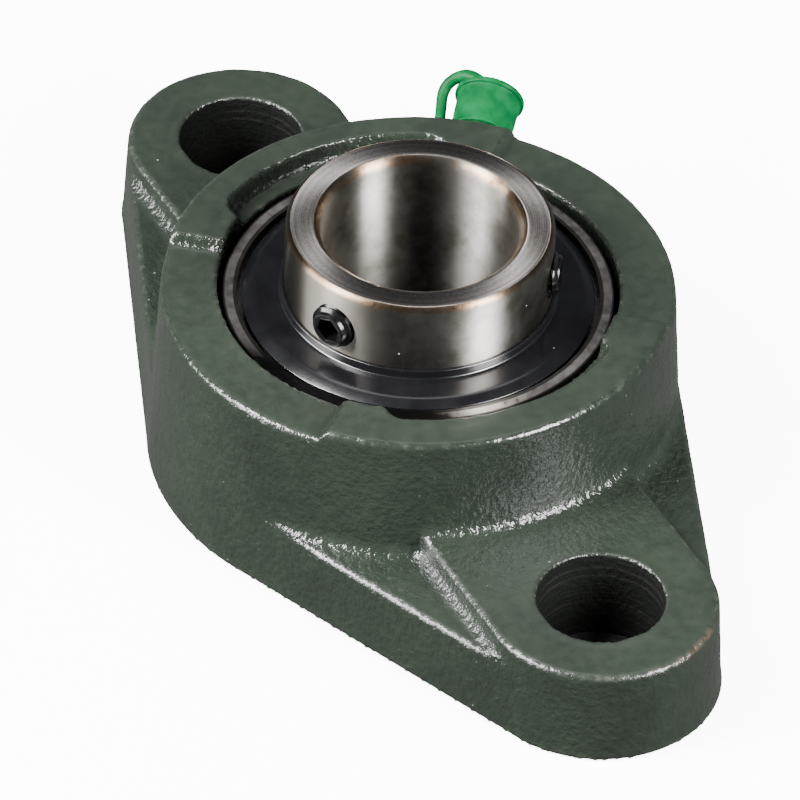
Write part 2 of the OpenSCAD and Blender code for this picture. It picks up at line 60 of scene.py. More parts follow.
def makeCamera(c):
    az = math.radians(c["azimuth"])
    el = math.radians(c["elevation"])
    roll = math.radians(c["roll"])
    back = Vector((math.sin(az) * math.cos(el), -math.cos(az) * math.cos(el), math.sin(el)))
    side = Vector((math.cos(az), math.sin(az), 0.0))
    up = back.cross(side)
    right = side * math.cos(roll) + up * math.sin(roll)
    above = up * math.cos(roll) - side * math.sin(roll)
    data = bpy.data.cameras.new("camera")
    data.lens = c["lens"]
    data.sensor_width = 36.0
    data.clip_start = 0.05
    data.clip_end = 20.0
    obj = bpy.data.objects.new("camera", data)
    bpy.context.scene.collection.objects.link(obj)
    turn = Matrix((right, above, back)).transposed().to_4x4()
    obj.matrix_world = Matrix.Translation(c["target"] + back * c["distance"]) @ turn
    bpy.context.scene.camera = obj


makeCamera(camera)
print("camera set")

# pale floor, dim world, two tall soft boxes left and right of the camera, and weaker fill lights
studio = {
    "floorSize": 6.0,
    "floorZ": -0.2,
    "floorRoughness": 0.9,
    "floorColor": (0.9, 0.9, 0.9, 1.0),
    "skyColor": (0.050, 0.052, 0.055, 1.0),
    "horizonColor": (0.26, 0.265, 0.27, 1.0),
    "groundColor": (0.22, 0.22, 0.215, 1.0),
    "horizonBand": (0.05, 0.45),
    "floorGlow": 9.0,
    "shadeColor": (0.010, 0.010, 0.010, 1.0),
    "shades": [
        # x and radius in mm of the shade under each hole
        (-49.5, 9.0), (0.0, 30.0), (49.5, 9.0),
    ],
    "shadeZ": -0.1,
    "aim": Vector((0, 0, 20)) * mm,
    "lights": [
        # name, direction from the part, distance, width, height, watts, seen in gloss
        ("leftBox", (-0.131, -0.725, 0.68), 0.8, 0.26, 0.5, 28.0, True),
        ("rightBox", (0.773, 0.378, 0.50), 0.8, 0.26, 0.5, 28.0, True),
        ("lowBox", (-0.30, -0.90, 0.22), 0.9, 0.50, 0.30, 16.0, True),
        ("topPanel", (-0.30, 0.16, 0.94), 0.8, 0.50, 0.20, 0.7, True),
        ("backFill", (-0.80, 0.40, 0.22), 0.9, 0.60, 0.40, 7.0, False),
    ],
}


def makeStudio(s):
    bpy.ops.mesh.primitive_plane_add(size=s["floorSize"], location=(0, 0, s["floorZ"] * mm))
    floor = bpy.context.object
    floor.name = "floor"
    mat, tree, shader = newMaterial("paleFloor")
    color, rough = s["floorColor"], s["floorRoughness"]
    setShader(shader, Base_Color=color, Roughness=rough)
    setShader(shader, Emission_Color=color, Emission_Strength=s["floorGlow"])
    floor.data.materials.append(mat)
    floor.visible_glossy = False
    floor.visible_diffuse = False
    # the floor under the holes is in the part's own shade
    mat, tree, shader = newMaterial("floorShade")
    setShader(shader, Base_Color=s["shadeColor"], Roughness=rough)
    for x, r in s["shades"]:
        bpy.ops.mesh.primitive_circle_add(
            radius=r * mm, fill_type="NGON", location=(x * mm, 0, s["shadeZ"] * mm)
        )
        shade = bpy.context.object
        shade.name = "floorShade"
        shade.data.materials.append(mat)
    world = bpy.data.worlds.new("studio")
    world.use_nodes = True
    tree = world.node_tree
    height = partsOf(tree, tree.nodes.new("ShaderNodeTexCoord").outputs["Generated"])[2]
    low, high = s["horizonBand"]
    upper = mixColor(tree, between(tree, height, low, high), s["horizonColor"], s["skyColor"])
    color = mixColor(tree, between(tree, height, -low, -high), upper, s["groundColor"])
    tree.links.new(color, tree.nodes["Background"].inputs["Color"])
    bpy.context.scene.world = world
    for name, direction, distance, width, height, watts, glossy in s["lights"]:
        data = bpy.data.lights.new(name, "AREA")
        data.shape = "RECTANGLE"
        data.size = width
        data.size_y = height
        data.energy = watts
        obj = bpy.data.objects.new(name, data)
        bpy.context.scene.collection.objects.link(obj)
        toLight = Vector(direction).normalized()
        turn = toLight.to_track_quat("Z", "Y").to_matrix().to_4x4()
        obj.matrix_world = Matrix.Translation(s["aim"] + toLight * distance) @ turn
        obj.visible_glossy = glossy


# shader helpers: a socket takes a link or a plain value
def newMaterial(name):
    mat = bpy.data.materials.new(name)
    mat.use_nodes = True
    tree = mat.node_tree
    return mat, tree, tree.nodes["Principled BSDF"]


def setShader(shader, **values):
    for key, value in values.items():
        shader.inputs[key.replace("_", " ")].default_value = value


def feed(tree, value, socket):
    if isinstance(value, bpy.types.NodeSocket):
        tree.links.new(value, socket)
    else:
        socket.default_value = value


def mathNode(tree, operation, a, b=0.0):
    node = tree.nodes.new("ShaderNodeMath")
    node.operation = operation
    feed(tree, a, node.inputs[0])
    feed(tree, b, node.inputs[1])
    return node.outputs[0]


def times(tree, a, b):
    return mathNode(tree, "MULTIPLY", a, b)


def plus(tree, a, b):
    return mathNode(tree, "ADD", a, b)


def between(tree, value, low, high, start=0.0, end=1.0):
    node = tree.nodes.new("ShaderNodeMapRange")
    feed(tree, value, node.inputs["Value"])
    feed(tree, low, node.inputs["From Min"])
    feed(tree, high, node.inputs["From Max"])
    feed(tree, start, node.inputs["To Min"])
    feed(tree, end, node.inputs["To Max"])
    return node.outputs["Result"]


def band(tree, value, limits):
    # 0 to 1 from one limit to the other, in millimetres
    return between(tree, value, limits[0] * mm, limits[1] * mm)


def fromTo(tree, share, start, end):
    return between(tree, share, 0.0, 1.0, start, end)


def mixColor(tree, factor, a, b):
    node = tree.nodes.new("ShaderNodeMix")
    node.data_type = "RGBA"
    feed(tree, factor, node.inputs["Factor"])
    feed(tree, a, node.inputs["A"])
    feed(tree, b, node.inputs["B"])
    return node.outputs["Result"]


def objectPlace(tree):
    return tree.nodes.new("ShaderNodeTexCoord").outputs["Object"]


def noiseOf(tree, place, size, detail=2.0, roughness=0.5):
    # size of the pattern in millimetres
    node = tree.nodes.new("ShaderNodeTexNoise")
    feed(tree, place, node.inputs["Vector"])
    node.inputs["Scale"].default_value = 1.0 / (size * mm)
    node.inputs["Detail"].default_value = detail
    node.inputs["Roughness"].default_value = roughness
    return node.outputs["Fac"]


def linesOf(tree, value, size, detail=2.0):
    # fine lines along one measure, such as a height or a radius
    node = tree.nodes.new("ShaderNodeTexNoise")
    node.noise_dimensions = "1D"
    feed(tree, value, node.inputs["W"])
    node.inputs["Scale"].default_value = 1.0 / (size * mm)
    node.inputs["Detail"].default_value = detail
    return node.outputs["Fac"]


def specksOf(tree, place, spacing, size, share):
    # scattered specks: a few of the cells have a small dot at their centre
    node = tree.nodes.new("ShaderNodeTexVoronoi")
    feed(tree, place, node.inputs["Vector"])
    node.inputs["Scale"].default_value = 1.0 / (spacing * mm)
    dot = between(tree, node.outputs["Distance"], size / spacing, 0.5 * size / spacing)
    split = tree.nodes.new("ShaderNodeSeparateColor")
    feed(tree, node.outputs["Color"], split.inputs["Color"])
    chosen = mathNode(tree, "LESS_THAN", split.outputs["Red"], share)
    return times(tree, dot, chosen)


def axisDistance(tree, place, x=0.0):
    # distance from the upright axis at x, in metres
    shift = tree.nodes.new("ShaderNodeVectorMath")
    shift.operation = "SUBTRACT"
    feed(tree, place, shift.inputs[0])
    shift.inputs[1].default_value = (x, 0.0, 0.0)
    flat = tree.nodes.new("ShaderNodeVectorMath")
    flat.operation = "MULTIPLY"
    feed(tree, shift.outputs["Vector"], flat.inputs[0])
    flat.inputs[1].default_value = (1.0, 1.0, 0.0)
    size = tree.nodes.new("ShaderNodeVectorMath")
    size.operation = "LENGTH"
    feed(tree, flat.outputs["Vector"], size.inputs[0])
    return size.outputs["Value"]


def partsOf(tree, vector):
    node = tree.nodes.new("ShaderNodeSeparateXYZ")
    feed(tree, vector, node.inputs["Vector"])
    return node.outputs["X"], node.outputs["Y"], node.outputs["Z"]


def facing(tree):
    # how far a face looks up or down, from 0 for a wall to 1
    normal = tree.nodes.new("ShaderNodeTexCoord").outputs["Normal"]
    return mathNode(tree, "ABSOLUTE", partsOf(tree, normal)[2])


def aroundAxis(tree):
    node = tree.nodes.new("ShaderNodeTangent")
    node.direction_type = "RADIAL"
    node.axis = "Z"
    return node.outputs["Tangent"]


def toward(tree, place, direction):
    # how far a place lies along a level direction from the Z axis
    x, y, z = partsOf(tree, place)
    return plus(tree, times(tree, x, direction[0]), times(tree, y, direction[1]))


def bumpFrom(tree, shader, height, depth, strength=1.0):
    # depth in millimetres
    node = tree.nodes.new("ShaderNodeBump")
    feed(tree, height, node.inputs["Height"])
    feed(tree, strength, node.inputs["Strength"])
    node.inputs["Distance"].default_value = depth * mm
    tree.links.new(node.outputs["Normal"], shader.inputs["Normal"])


makeStudio(studio)
print("studio lit")


# piece helpers
mergeGap = 1e-7
axisGap = 1e-9


def evaluated(obj):
    depsgraph = bpy.context.evaluated_depsgraph_get()
    return bpy.data.meshes.new_from_object(obj.evaluated_get(depsgraph))


def newPiece(name, bm, material, crease=40.0):
    mesh = bpy.data.meshes.new(name)
    bm.to_mesh(mesh)
    bm.free()
    mesh.materials.append(material)
    mesh.polygons.foreach_set("use_smooth", [True] * len(mesh.polygons))
    mesh.set_sharp_from_angle(angle=math.radians(crease))
    obj = bpy.data.objects.new(name, mesh)
    bpy.context.scene.collection.objects.link(obj)
    return obj


def standFor(piece, body, slot, *replaced):
    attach(piece, body)
    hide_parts(*replaced)


def spunProfile(points, steps=128):
    # points are radius, height and corner radius in mm: the outline is rounded, then turned round Z
    bm = bmesh.new()
    corners = [(bm.verts.new((r * mm, 0, z * mm)), bend) for r, z, bend in points]
    bm.faces.new([vert for vert, bend in corners])
    for size in sorted({bend for vert, bend in corners if bend > 0}):
        bmesh.ops.bevel(
            bm, geom=[vert for vert, bend in corners if bend == size], offset=size * mm,
            offset_type="OFFSET", segments=5, profile=0.5, affect="VERTICES", material=-1,
        )
    bmesh.ops.delete(bm, geom=bm.faces[:], context="FACES_ONLY")
    onAxis = [e for e in bm.edges if all(abs(v.co.x) < axisGap for v in e.verts)]
    bmesh.ops.delete(bm, geom=onAxis, context="EDGES")
    bmesh.ops.spin(
        bm, geom=bm.verts[:] + bm.edges[:], cent=(0, 0, 0), axis=(0, 0, 1),
        angle=math.tau, steps=steps, use_merge=True,
    )
    bmesh.ops.remove_doubles(bm, verts=bm.verts, dist=mergeGap)
    bmesh.ops.recalc_face_normals(bm, faces=bm.faces)
    return bm


# housing: cast iron under dark green gloss paint, rough on the walls and smoother on top
paint = {
    "color": (0.0158, 0.0215, 0.0152, 1.0),
    "darkColor": (0.0112, 0.0152, 0.0112, 1.0),
    "blotchSize": 14.0,
    "mottleSize": 1.6,
    "blotchShare": 0.65,
    "toneRange": (0.36, 0.62),
    "wallRoughness": 0.19,
    "topRoughness": 0.36,
    "padRoughness": 0.26,
    "slopeRoughness": 0.12,
    "mottleRoughness": 0.06,
    "grainSize": 0.80,
    "gritSize": 0.24,
    "gritShare": 0.1,
    "grainDepth": 0.34,
    "wallGrain": 0.85,
    "topGrain": 0.06,
    "padGrain": 0.95,
    "slopeGrain": 1.5,
    "edgeGrain": 0.3,
    "padR": (47.0, 36.0),
    "padZ": (20.0, 15.0),
    "slopeR": (35.0, 38.5),
    "rubbedColor": (0.10, 0.105, 0.085, 1.0),
    "rubbedShare": 0.3,
    "rubbedRange": (0.50, 0.66),
    "patchSize": 1.1,
    "speckColor": (0.26, 0.28, 0.24, 1.0),
    "specks": (2.4, 0.16, 0.28),  # spacing, size, and the share of cells that have one
    "speckShares": (0.25, 0.8),
    "copperColor": (0.058, 0.034, 0.024, 1.0),
    "wornSpot": Vector((63.0, 6.5, 12.5)),
    "wornR": (8.0, 2.0),
    "wornRange": (0.38, 0.60),
    "boltX": 49.5,
    "plainR": (9.0, 10.0),
    "drilledR": (8.35, 8.15),
    "drilledColor": (0.0065, 0.0075, 0.0062, 1.0),
    "drilledGrey": (0.0135, 0.0130, 0.0120, 1.0),
    "turnedSize": 0.7,
}


def makeCastPaint(p):
    mat, tree, shader = newMaterial("castPaint")
    place = objectPlace(tree)
    height = partsOf(tree, place)[2]
    r = axisDistance(tree, place)
    onRight = axisDistance(tree, place, p["boltX"] * mm)
    onLeft = axisDistance(tree, place, -p["boltX"] * mm)
    bolt = mathNode(tree, "MINIMUM", onRight, onLeft)
    up = facing(tree)
    top = between(tree, up, 0.88, 0.985)
    wall = between(tree, up, 0.6, 0.3)
    blotch = noiseOf(tree, place, p["blotchSize"], 4.0, 0.6)
    mottle = noiseOf(tree, place, p["mottleSize"], 3.0, 0.6)
    patchy = noiseOf(tree, place, p["patchSize"], 3.0, 0.65)
    edge = tree.nodes.new("ShaderNodeAttribute")
    edge.attribute_name = "edge"
    edgeShare = times(tree, edge.outputs["Fac"], band(tree, bolt, p["plainR"]))
    # colour: broad blotches, dust specks on top, rubbed edges
    share = p["blotchShare"]
    tone = plus(tree, times(tree, blotch, share), times(tree, mottle, 1.0 - share))
    color = mixColor(tree, between(tree, tone, *p["toneRange"]), p["darkColor"], p["color"])
    specks = times(tree, specksOf(tree, place, *p["specks"]), fromTo(tree, top, *p["speckShares"]))
    color = mixColor(tree, specks, color, p["speckColor"])
    rubbed = times(tree, edgeShare, between(tree, patchy, *p["rubbedRange"]))
    color = mixColor(tree, times(tree, rubbed, p["rubbedShare"]), color, p["rubbedColor"])
    # the near lug's rim is worn through to a copper tone
    offset = tree.nodes.new("ShaderNodeVectorMath")
    offset.operation = "DISTANCE"
    feed(tree, place, offset.inputs[0])
    offset.inputs[1].default_value = p["wornSpot"] * mm
    worn = times(tree, band(tree, offset.outputs["Value"], p["wornR"]), edgeShare)
    worn = times(tree, worn, between(tree, patchy, *p["wornRange"]))
    color = mixColor(tree, worn, color, p["copperColor"])
    # bolt holes: bare dark walls with turned lines
    drilled = times(tree, band(tree, bolt, p["drilledR"]), wall)
    rings = between(tree, linesOf(tree, height, p["turnedSize"]), 0.5, 0.7)
    rings = times(tree, rings, between(tree, blotch, 0.45, 0.6))
    bare = mixColor(tree, rings, p["drilledColor"], p["drilledGrey"])
    tree.links.new(mixColor(tree, drilled, color, bare), shader.inputs["Base Color"])
    # gloss: the pads are as rough as the walls close to the hub, and the webs' slopes are duller
    nearHub = times(tree, band(tree, r, p["padR"]), band(tree, height, p["padZ"]))
    topRough = fromTo(tree, nearHub, p["topRoughness"], p["padRoughness"])
    rough = fromTo(tree, top, p["wallRoughness"], topRough)
    swing = p["mottleRoughness"]
    rough = plus(tree, rough, between(tree, mottle, 0.3, 0.7, -swing, swing))
    slope = times(tree, between(tree, up, 0.20, 0.40), between(tree, up, 0.985, 0.93))
    slope = times(tree, slope, band(tree, r, p["slopeR"]))
    rough = plus(tree, rough, times(tree, slope, p["slopeRoughness"]))
    tree.links.new(rough, shader.inputs["Roughness"])
    # relief: cast grain and a finer grit
    grain = noiseOf(tree, place, p["grainSize"], 2.0, 0.5)
    grit = noiseOf(tree, place, p["gritSize"], 1.0, 0.5)
    share = p["gritShare"]
    relief = plus(tree, times(tree, grain, 1.0 - share), times(tree, grit, share))
    topGrain = fromTo(tree, nearHub, p["topGrain"], p["padGrain"])
    strength = fromTo(tree, top, p["wallGrain"], topGrain)
    strength = times(tree, strength, fromTo(tree, edgeShare, 1.0, p["edgeGrain"]))
    strength = times(tree, strength, fromTo(tree, slope, 1.0, p["slopeGrain"]))
    bumpFrom(tree, shader, relief, p["grainDepth"], strength)
    return mat


castHousing = {
    "mergeGap": 0.001,
    "voxel": 0.5,
    "softenSteps": 1,
    "swellSize": 10.0,
    "swellDepth": 0.13,
    "lumpSize": 2.4,
    "lumpDepth": 0.10,
    "lumpShift": Vector((7.1, 3.3, 5.7)),
    "sharpRange": (0.04, 0.13),
    "keepMouth": (25.7, 26.8),
    "keepBolt": (8.25, 9.4),
    "keepFoot": (0.2, 1.4),
    "keepSpot": (5.6, 6.6),
    "boltX": 49.5,
    "spotCentre": Vector((-24.255, 20.353, 19.522)),
}


def fade(value, limits):
    low, high = limits
    share = min(max((value - low) / (high - low), 0.0), 1.0)
    return share * share * (3.0 - 2.0 * share)


def castShare(point, c):
    # 1 on rough cast surfaces, 0 where the casting is machined
    p = point / mm
    share = fade(math.hypot(p.x, p.y), c["keepMouth"])
    share *= fade(math.hypot(abs(p.x) - c["boltX"], p.y), c["keepBolt"])
    share *= fade(p.z, c["keepFoot"])
    return share * fade((p - c["spotCentre"]).length, c["keepSpot"])


def makeHousing(c, material):
    source = nodes["housing"]
    bm = bmesh.new()
    bm.from_mesh(source.data)
    bmesh.ops.remove_doubles(bm, verts=bm.verts, dist=c["mergeGap"] * mm)
    bmesh.ops.recalc_face_normals(bm, faces=bm.faces)
    obj = newPiece("castHousing", bm, material)
    remesh = obj.modifiers.new("remesh", "REMESH")
    remesh.mode = "VOXEL"
    remesh.voxel_size = c["voxel"] * mm
    wrap = obj.modifiers.new("wrap", "SHRINKWRAP")
    wrap.target = source
    wrap.wrap_method = "NEAREST_SURFACEPOINT"
    mesh = evaluated(obj)
    obj.modifiers.clear()
    bm = bmesh.new()
    bm.from_mesh(mesh)
    shares = [castShare(v.co, c) for v in bm.verts]
    rough = [v for v, share in zip(bm.verts, shares) if share > 0.5]
    for step in range(c["softenSteps"]):
        bmesh.ops.smooth_vert(
            bm, verts=rough, factor=0.5, use_axis_x=True, use_axis_y=True, use_axis_z=True
        )
    bm.normal_update()
    for v, share in zip(bm.verts, shares):
        swell = 0.5 + 0.5 * noise.noise(v.co / (c["swellSize"] * mm))
        lump = 0.5 + 0.5 * noise.noise(v.co / (c["lumpSize"] * mm) + c["lumpShift"])
        sink = c["swellDepth"] * swell + c["lumpDepth"] * lump
        v.co -= v.normal * (sink * share * mm)
    bm.normal_update()
    # how far each vertex stands out of its neighbours marks the convex edges
    sharpness = []
    for v in bm.verts:
        around = [e.other_vert(v).co for e in v.link_edges]
        middle = sum(around, Vector()) / len(around)
        sharpness.append((v.co - middle).dot(v.normal) / (c["voxel"] * mm))
    edges = []
    for v in bm.verts:
        around = [sharpness[e.other_vert(v).index] for e in v.link_edges]
        level = 0.5 * sharpness[v.index] + 0.5 * sum(around) / len(around)
        edges.append(fade(level, c["sharpRange"]))
    bm.to_mesh(mesh)
    bm.free()
    mesh.attributes.new("edge", "FLOAT", "POINT").data.foreach_set("value", edges)
    mesh.polygons.foreach_set("use_smooth", [True] * len(mesh.polygons))
    mesh.materials.clear()
    mesh.materials.append(material)
    obj.data = mesh
    print("housing:", len(mesh.polygons), "faces")
    standFor(obj, "housing", "housing_paint", "housing")


makeHousing(castHousing, makeCastPaint(paint))
print("housing cast")

# inner ring: satin ground steel with heat-tinted rounded corners and two tapped holes
innerRing = {
    "boreR": 12.5,
    "outerR": 16.9,
    "low": 1.7,
    "top": 35.8,
    "lipR": 1.35,
    "rimR": 0.9,
    "trackCentre": 19.661,
    "trackR": 4.13,
    "ballPlane": 16.0,
    "trackSteps": 8,
    "holeR": 3.0,
    "holePast": 1.0,
    "screwZ": 29.9,
    "screwTurns": (-66.0, 54.0),
    "wallRows": (22, 25.5, 29.9, 34),
    "crease": 35.0,
    "color": (0.37, 0.35, 0.325, 1.0),
    "dullColor": (0.20, 0.185, 0.160, 1.0),
    "faceColor": (0.22, 0.208, 0.198, 1.0),
    "faceDark": (0.12, 0.112, 0.106, 1.0),
    "tintColor": (0.29, 0.19, 0.11, 1.0),
    "tintShare": 0.75,
    "rustColor": (0.13, 0.062, 0.036, 1.0),
    "rustShare": 0.8,
    "shadedWallSide": (0.15, -0.99),
    "shadedWallFrom": (11.0, 15.5),
    "shadedWallColor": (0.17, 0.157, 0.136, 1.0),
    "outsideR": (14.0, 15.0),
    "specks": (1.7, 0.13, 0.07),
    "speckColor": (0.45, 0.44, 0.42, 1.0),
    "stainSize": 5.0,
    "mottleSize": 0.7,
    "faceLineSize": 0.22,
    "faceScuffSize": 0.30,
    "wallRoughness": 0.36,
    "faceRoughness": 0.50,
    "mottleRoughness": 0.02,
    "wallSpread": 1.0,
    "faceSpread": 0.8,
    "grainSize": 0.16,
    "wallLineSize": 0.09,
    "wallLineShare": 0.4,
    "grainDepth": 0.0032,
}


def makeGroundSteel(p):
    mat, tree, shader = newMaterial("groundSteel")
    place = objectPlace(tree)
    z = partsOf(tree, place)[2]
    r = axisDistance(tree, place)
    up = facing(tree)
    face = between(tree, up, 0.93, 0.985)
    bend = times(tree, between(tree, up, 0.12, 0.35), between(tree, up, 0.97, 0.90))
    stain = noiseOf(tree, place, p["stainSize"], 4.0, 0.6)
    mottle = noiseOf(tree, place, p["mottleSize"], 3.0, 0.6)
    # colour: turned lines on the end face, stains on the walls, painted shade darkening the outer wall
    # on one side, heat tint and rust on the corners
    scuff = noiseOf(tree, place, p["faceScuffSize"], 3.0, 0.7)
    turned = plus(tree, linesOf(tree, r, p["faceLineSize"]), scuff)
    faceColor = mixColor(tree, between(tree, turned, 0.80, 1.20), p["faceDark"], p["faceColor"])
    wallColor = mixColor(tree, between(tree, stain, 0.42, 0.66), p["color"], p["dullColor"])
    # painted shade: the outer wall is darkened on the side toward the left light, dimming that light's
    # reflection there
    onShadedSide = band(tree, toward(tree, place, p["shadedWallSide"]), p["shadedWallFrom"])
    paintedWallShade = times(tree, onShadedSide, band(tree, r, p["outsideR"]))
    wallColor = mixColor(tree, paintedWallShade, wallColor, p["shadedWallColor"])
    color = mixColor(tree, face, wallColor, faceColor)
    tint = times(tree, bend, between(tree, stain, 0.30, 0.50))
    color = mixColor(tree, times(tree, tint, p["tintShare"]), color, p["tintColor"])
    rust = between(tree, times(tree, stain, mottle), 0.30, 0.40, 0.0, p["rustShare"])
    color = mixColor(tree, times(tree, bend, rust), color, p["rustColor"])
    specks = specksOf(tree, place, *p["specks"])
    color = mixColor(tree, specks, color, p["speckColor"])
    tree.links.new(color, shader.inputs["Base Color"])
    tree.links.new(mathNode(tree, "SUBTRACT", 1.0, specks), shader.inputs["Metallic"])
    rough = fromTo(tree, face, p["wallRoughness"], p["faceRoughness"])
    swing = p["mottleRoughness"]
    rough = plus(tree, rough, between(tree, mottle, 0.3, 0.7, -swing, swing))
    tree.links.new(rough, shader.inputs["Roughness"])
    tree.links.new(fromTo(tree, face, p["wallSpread"], p["faceSpread"]), shader.inputs["Anisotropic"])
    # walls spread their gloss along the axis, and the end face spreads it round the axis
    lay = tree.nodes.new("ShaderNodeMix")
    lay.data_type = "VECTOR"
    feed(tree, face, lay.inputs["Factor"])
    feed(tree, (0.0, 0.0, 1.0), lay.inputs["A"])
    feed(tree, aroundAxis(tree), lay.inputs["B"])
    tree.links.new(lay.outputs["Result"], shader.inputs["Tangent"])
    grain = noiseOf(tree, place, p["grainSize"], 2.0, 0.6)
    lines = times(tree, linesOf(tree, z, p["wallLineSize"]), p["wallLineShare"])
    bumpFrom(tree, shader, plus(tree, lines, grain), p["grainDepth"])
    return mat


def screwPlace(p, turn):
    # local Z points out of the shaft's axis, at the height of the screws
    lift = Matrix.Translation((0, 0, p["screwZ"] * mm))
    return lift @ Matrix.Rotation(math.radians(turn), 4, "Z") @ Matrix.Rotation(math.radians(90), 4, "Y")


def makeInnerRing(p, material):
    plane, centre, track = p["ballPlane"], p["trackCentre"], p["trackR"]
    half = math.acos((centre - p["outerR"]) / track)
    groove = []
    for k in range(p["trackSteps"] + 1):
        a = half * (1 - 2 * k / p["trackSteps"])
        groove.append((centre - track * math.cos(a), plane - track * math.sin(a), 0))
    profile = [(p["boreR"], p["low"], p["lipR"]), (p["outerR"], p["low"], p["rimR"])]
    profile += groove
    profile += [(p["outerR"], z, 0) for z in p["wallRows"]]
    profile += [(p["outerR"], p["top"], p["rimR"]), (p["boreR"], p["top"], p["lipR"])]
    profile += [(p["boreR"], z, 0) for z in reversed(p["wallRows"][1:])]
    bm = spunProfile(profile, 192)
    obj = newPiece("innerRing", bm, material, p["crease"])
    cutters = bmesh.new()
    for turn in p["screwTurns"]:
        place = screwPlace(p, turn)
        reach = (p["outerR"] + p["holePast"]) * mm
        bmesh.ops.create_cone(
            cutters, cap_ends=True, segments=64, radius1=p["holeR"] * mm, radius2=p["holeR"] * mm,
            depth=reach, matrix=place @ Matrix.Translation((0, 0, reach / 2)),
        )
    cutter = newPiece("holeCutter", cutters, material)
    cut = obj.modifiers.new("holes", "BOOLEAN")
    cut.operation = "DIFFERENCE"
    cut.solver = "EXACT"
    cut.object = cutter
    mesh = evaluated(obj)
    obj.modifiers.clear()
    bpy.data.objects.remove(cutter)
    mesh.polygons.foreach_set("use_smooth", [True] * len(mesh.polygons))
    mesh.set_sharp_from_angle(angle=math.radians(p["crease"]))
    obj.data = mesh
    standFor(obj, "inner_ring", "inner_steel", "inner_ring")


makeInnerRing(innerRing, makeGroundSteel(innerRing))
print("inner ring ground")

# flingers: pressed sheet, blued to a glossy black
flinger = {
    "ballPlane": 16.0,
    "profile": [
        # radius, height above the ball plane, corner radius
        (16.93, 8.5, 0.1), (16.93, 10.2, 0.12), (17.42, 10.2, 0.15), (17.42, 8.98, 0.25),
        (20.75, 8.84, 0.4), (22.25, 8.12, 0.12), (22.05, 7.7, 0.1), (20.6, 8.36, 0.3), (17.42, 8.5, 0.1),
    ],
    "color": (0.0026, 0.0026, 0.0032, 1.0),
    "hazeColor": (0.0038, 0.0038, 0.0046, 1.0),
    "hazeSize": 4.0,
    "dustColor": (0.40, 0.40, 0.40, 1.0),
    "dustShare": 0.6,
    "specks": (1.9, 0.14, 0.25),
    "roughness": (0.18, 0.25),
    "lineSize": 0.2,
    "lineDepth": 0.004,
    "steps": 160,
    "crease": 50.0,
}


def makeBluedSteel(p):
    mat, tree, shader = newMaterial("bluedSteel")
    place = objectPlace(tree)
    r = axisDistance(tree, place)
    haze = noiseOf(tree, place, p["hazeSize"], 4.0, 0.6)
    color = mixColor(tree, between(tree, haze, 0.35, 0.7), p["color"], p["hazeColor"])
    specks = specksOf(tree, place, *p["specks"])
    color = mixColor(tree, times(tree, specks, p["dustShare"]), color, p["dustColor"])
    tree.links.new(color, shader.inputs["Base Color"])
    tree.links.new(between(tree, haze, 0.3, 0.7, *p["roughness"]), shader.inputs["Roughness"])
    setShader(shader, Specular_IOR_Level=0.85)
    bumpFrom(tree, shader, linesOf(tree, r, p["lineSize"]), p["lineDepth"])
    return mat


def makeFlingers(p, material):
    for name, side in (("flingerUpper", 1), ("flingerLower", -1)):
        profile = [(r, p["ballPlane"] + side * z, bend) for r, z, bend in p["profile"]]
        bm = spunProfile(profile, p["steps"])
        obj = newPiece(name, bm, material, p["crease"])
        standFor(obj, "inner_ring", "flinger_black", "flinger_upper" if side > 0 else "flinger_lower")


makeFlingers(flinger, makeBluedSteel(flinger))
print("flingers pressed")

# set screws: black oxide, with a real thread, a hexagon socket and a cup point
setScrew = {
    "headAt": (18.3, 17.9),
    "length": 5.0,
    "coreR": 2.5,
    "crestR": 2.94,
    "pitch": 1.0,
    "rootHalf": 0.46,
    "crestHalf": 0.07,
    "toothSink": 0.08,
    "startBelow": 0.3,
    "trimStart": 0.25,
    "endGap": 0.03,
    "tipOutline": [
        # radius, height above the tip
        (0.0, 0.8), (1.5, 0.0), (2.2, 0.0), (2.5, 0.35),
    ],
    "headOutline": [
        # radius, depth below the head face
        (2.5, 0.35), (2.35, 0.05), (2.25, 0.0), (2.0, 0.0),
    ],
    "socketR": 1.732,
    "socketDepth": 2.6,
    "socketSink": 0.12,
    "drillDepth": 0.5,
    "socketTurn": 17.0,
    "sideCuts": 7,
    "stepsPerTurn": 48,
    "crease": 32.0,
    "color": (0.0018, 0.0018, 0.0020, 1.0),
    "bloomColor": (0.0036, 0.0034, 0.0032, 1.0),
    "bloomSize": 0.9,
    "roughness": (0.16, 0.24),
    "grainSize": 0.15,
    "grainDepth": 0.004,
}


def makeBlackOxide(p):
    mat, tree, shader = newMaterial("blackOxide")
    place = objectPlace(tree)
    bloom = noiseOf(tree, place, p["bloomSize"], 4.0, 0.6)
    color = mixColor(tree, between(tree, bloom, 0.35, 0.7), p["color"], p["bloomColor"])
    tree.links.new(color, shader.inputs["Base Color"])
    tree.links.new(between(tree, bloom, 0.3, 0.7, *p["roughness"]), shader.inputs["Roughness"])
    setShader(shader, Specular_IOR_Level=0.35)
    bumpFrom(tree, shader, noiseOf(tree, place, p["grainSize"], 2.0), p["grainDepth"])
    return mat


